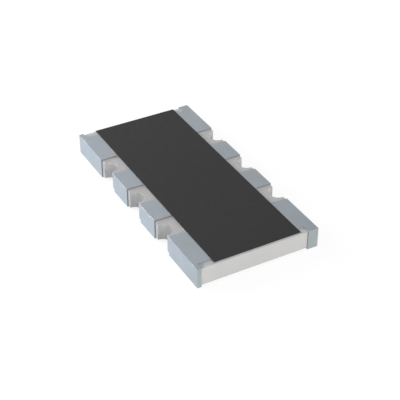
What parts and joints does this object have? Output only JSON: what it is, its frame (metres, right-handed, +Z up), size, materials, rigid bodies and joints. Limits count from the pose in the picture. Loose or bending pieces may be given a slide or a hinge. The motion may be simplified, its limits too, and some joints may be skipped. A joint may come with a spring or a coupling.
{
  "type": "chip resistor network",
  "caption": "Flat surface-mount resistor network: notched ceramic plate with plated terminals along both long sides and a black overcoat down the middle.",
  "frame": {"origin": "middle of the underside, in the plane of the eight solder lands", "axes": "+X along the rows of terminals, +Y across the body from the left row to the right row, +Z up through the black overcoat"},
  "size_m": [0.0032, 0.0016, 0.0003],
  "materials": {
    "alumina": "fine matte",
    "overcoat": "smooth matte",
    "tin": "matte plated",
    "nickel": "satin plated",
    "silver": "matte print",
    "resistor_film": "matte fired print",
    "glass_coat": "gloss fired glaze"
  },
  "bodies": {
    "root": {"ceramic_substrate": "alumina", "top_electrode_left_1": "silver", "bottom_electrode_left_1": "silver", "side_electrode_left_1": "silver", "nickel_barrier_left_1": "nickel", "tin_terminal_left_1": "tin", "top_electrode_right_1": "silver", "bottom_electrode_right_1": "silver", "side_electrode_right_1": "silver", "nickel_barrier_right_1": "nickel", "tin_terminal_right_1": "tin", "resistor_element_1": "resistor_film", "glass_coat_1": "glass_coat", "top_electrode_left_2": "silver", "bottom_electrode_left_2": "silver", "side_electrode_left_2": "silver", "nickel_barrier_left_2": "nickel", "tin_terminal_left_2": "tin", "top_electrode_right_2": "silver", "bottom_electrode_right_2": "silver", "side_electrode_right_2": "silver", "nickel_barrier_right_2": "nickel", "tin_terminal_right_2": "tin", "resistor_element_2": "resistor_film", "glass_coat_2": "glass_coat", "top_electrode_left_3": "silver", "bottom_electrode_left_3": "silver", "side_electrode_left_3": "silver", "nickel_barrier_left_3": "nickel", "tin_terminal_left_3": "tin", "top_electrode_right_3": "silver", "bottom_electrode_right_3": "silver", "side_electrode_right_3": "silver", "nickel_barrier_right_3": "nickel", "tin_terminal_right_3": "tin", "resistor_element_3": "resistor_film", "glass_coat_3": "glass_coat", "top_electrode_left_4": "silver", "bottom_electrode_left_4": "silver", "side_electrode_left_4": "silver", "nickel_barrier_left_4": "nickel", "tin_terminal_left_4": "tin", "top_electrode_right_4": "silver", "bottom_electrode_right_4": "silver", "side_electrode_right_4": "silver", "nickel_barrier_right_4": "nickel", "tin_terminal_right_4": "tin", "resistor_element_4": "resistor_film", "glass_coat_4": "glass_coat", "overcoat": "overcoat"}
  },
  "joints": []
}
